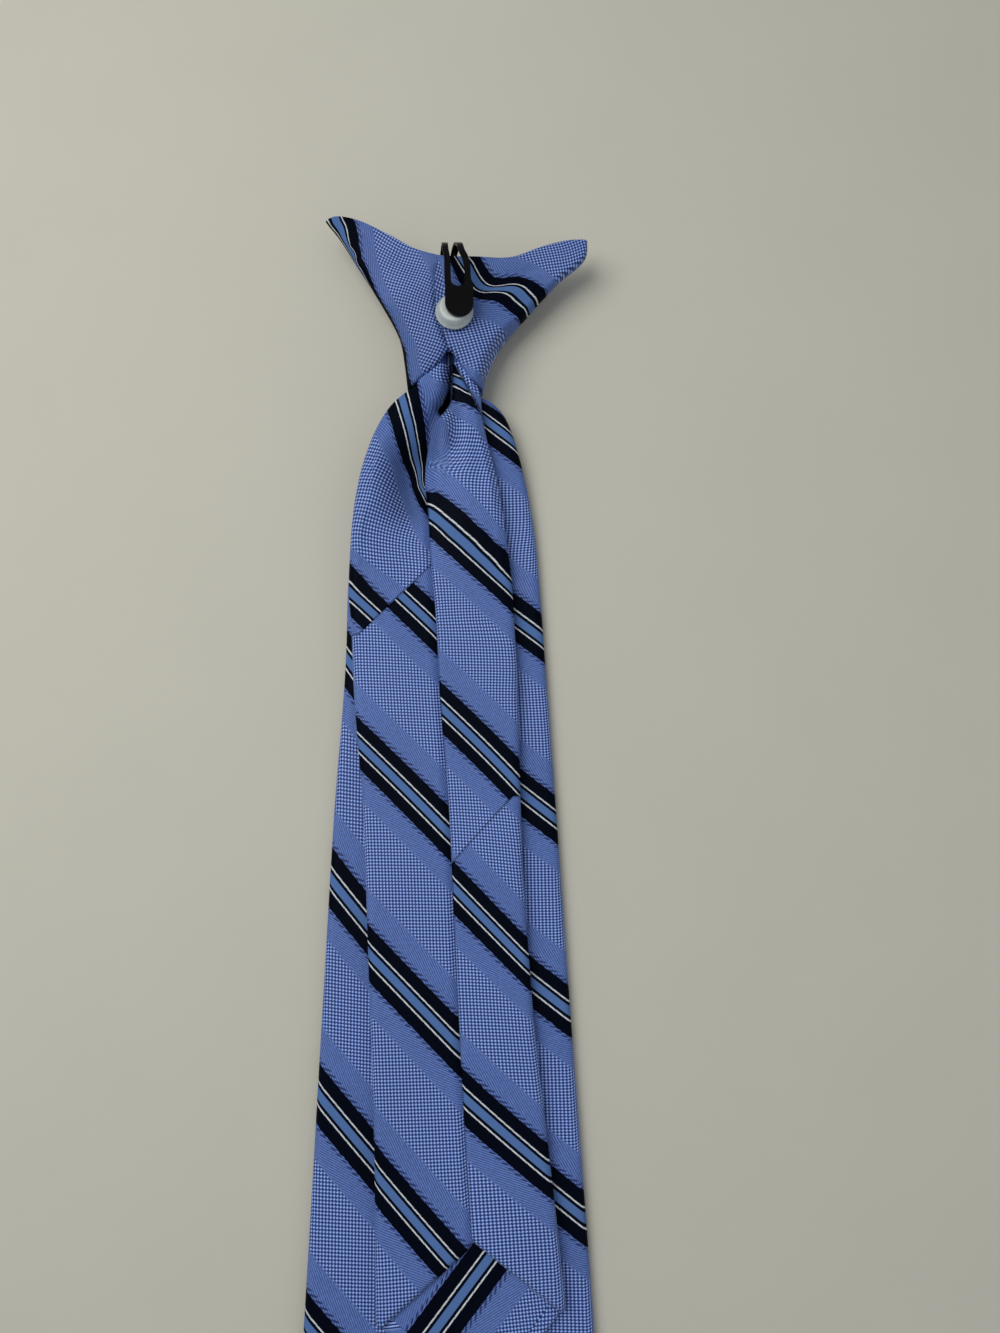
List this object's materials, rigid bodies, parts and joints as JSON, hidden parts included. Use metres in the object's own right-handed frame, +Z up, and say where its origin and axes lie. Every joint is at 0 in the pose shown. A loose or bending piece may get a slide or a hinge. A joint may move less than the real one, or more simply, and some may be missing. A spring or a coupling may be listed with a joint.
{
  "type": "clip-on necktie",
  "caption": "Ready-tied striped necktie for a child, with winged knot, folded front blade and tail, and a sprung steel clip on a plastic boss at the knot's back.",
  "frame": {"origin": "centre of the tie's footprint, on the surface that it lies on", "axes": "+Y along the tie from the front blade's point to the knot, +Z up out of its back, the clip's side, and +X to the right seen from the back with the knot at the top"},
  "size_m": [0.0763, 0.369, 0.0183],
  "materials": {
    "striped_silk": "woven blue silk with navy, white and pale blue stripes, soft satin sheen",
    "white_plastic": "milky, slightly see-through",
    "black_steel": "gloss black over spring steel"
  },
  "bodies": {
    "root": {"front_blade": "striped_silk", "front_tipping": "striped_silk", "tail_blade": "striped_silk", "tail_tipping": "striped_silk", "knot_wrap": "striped_silk", "knot_former": "white_plastic", "spring_clip": "black_steel"}
  },
  "joints": []
}
